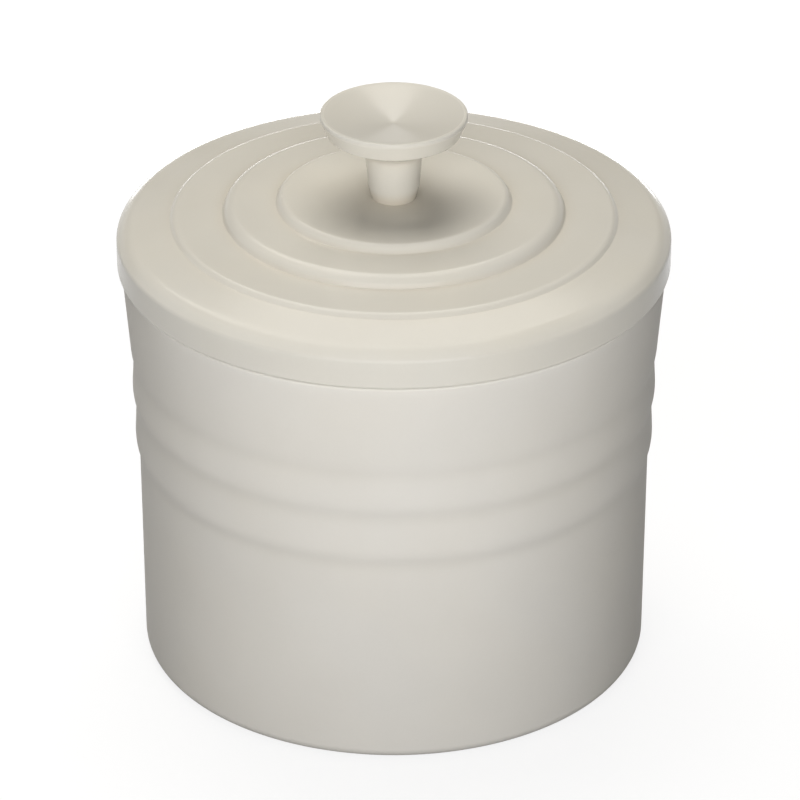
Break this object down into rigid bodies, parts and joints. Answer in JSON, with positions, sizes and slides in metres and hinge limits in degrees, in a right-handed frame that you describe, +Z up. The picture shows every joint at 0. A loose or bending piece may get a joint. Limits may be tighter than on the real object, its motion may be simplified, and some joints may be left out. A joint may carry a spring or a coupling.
{
  "type": "condiment jar",
  "caption": "Round glazed stoneware jar with lapped bands below a flared neck, and a stepped lid with a trumpet knob and a sealing ring that lifts off its mouth.",
  "frame": {"origin": "centre of the foot ring, on the table", "axes": "+Z up along the jar's axis of turning; -Y faces the picture's camera"},
  "size_m": [0.108, 0.108, 0.1152],
  "materials": {
    "jar_glaze": "satin",
    "lid_glaze": "satin",
    "silicone": "matte"
  },
  "bodies": {
    "jar": {"jar_body": "jar_glaze"},
    "seal": {"seal_ring": "silicone"},
    "lid": {"lid": "lid_glaze", "lid_knob": "lid_glaze"}
  },
  "joints": [
    {"name": "lid_lift", "type": "slide", "parent": "jar", "child": "seal", "axis": [0, 0, 1], "range_m": [0, 0.06]},
    {"name": "lid_turn", "type": "hinge", "parent": "seal", "child": "lid", "pos_m": [0, 0, 0.0837], "axis": [0, 0, 1], "continuous": true}
  ]
}
